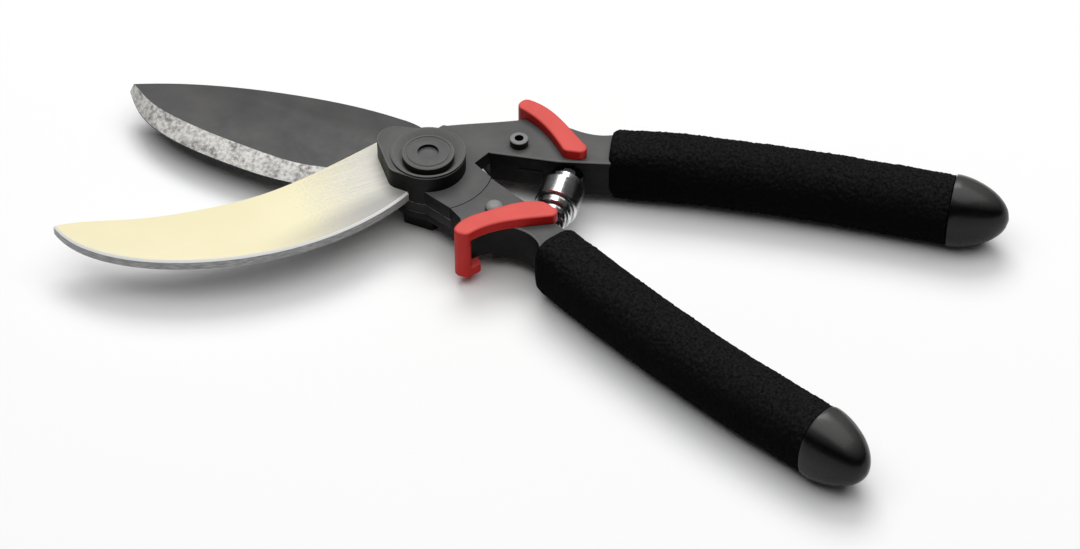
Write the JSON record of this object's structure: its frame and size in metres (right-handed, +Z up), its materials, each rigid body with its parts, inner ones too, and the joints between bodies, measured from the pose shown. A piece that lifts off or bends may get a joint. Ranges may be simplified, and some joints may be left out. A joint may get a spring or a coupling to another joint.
{
  "type": "bypass pruner",
  "caption": "Open bypass pruner: a bevelled cutting blade and a hooked counter blade on a pivot bolt, a volute spring, red guards and foam covered handles.",
  "frame": {"origin": "on the pivot axis, at the flush underside of the pivot bolt and nut, in the surface the pruner lies on", "axes": "+X from the pivot along the bisector of the handles, +Z up along the pivot bolt towards its head, +Y towards the handle of the hooked blade"},
  "size_m": [0.2148, 0.1067, 0.0192],
  "materials": {
    "hook_steel": "brushed, bright, slightly warm",
    "dark_steel": "dark grey satin coating, bright ground bevel along the edge",
    "black_forging": "satin black coated forging",
    "black_fastener": "satin black",
    "bronze": "plain bearing bronze",
    "plain_steel": "plain steel",
    "red_plastic": "moulded, semi gloss",
    "foam": "matte closed cell foam",
    "cap_plastic": "satin black",
    "spring_chrome": "bright plated",
    "bumper_rubber": "matte"
  },
  "bodies": {
    "hook_half": {"hook_handle": "black_forging", "hook_blade": "hook_steel", "hook_rivet": "black_fastener", "hook_guard": "red_plastic", "hook_grip": "foam", "hook_end_cap": "cap_plastic", "hook_spring_stud": "plain_steel", "bumper": "bumper_rubber", "pivot_bolt": "black_fastener", "pivot_ring": "black_fastener", "friction_washer": "plain_steel", "lock_washer": "black_fastener", "pivot_nut": "black_fastener", "spring": "spring_chrome"},
    "cutting_half": {"cutting_handle": "black_forging", "cutting_blade": "dark_steel", "cutting_rivet": "black_fastener", "cutting_guard": "red_plastic", "cutting_grip": "foam", "cutting_end_cap": "cap_plastic", "cutting_spring_stud": "plain_steel", "pivot_bush": "bronze"}
  },
  "joints": [
    {"name": "pivot", "type": "hinge", "parent": "hook_half", "child": "cutting_half", "pos_m": [0, 0, 0], "axis": [0, 0, 1], "range_deg": [0, 32], "stiffness_Nm_per_rad": 1.7, "springref_deg": -17.19, "deforming": ["spring"]}
  ]
}
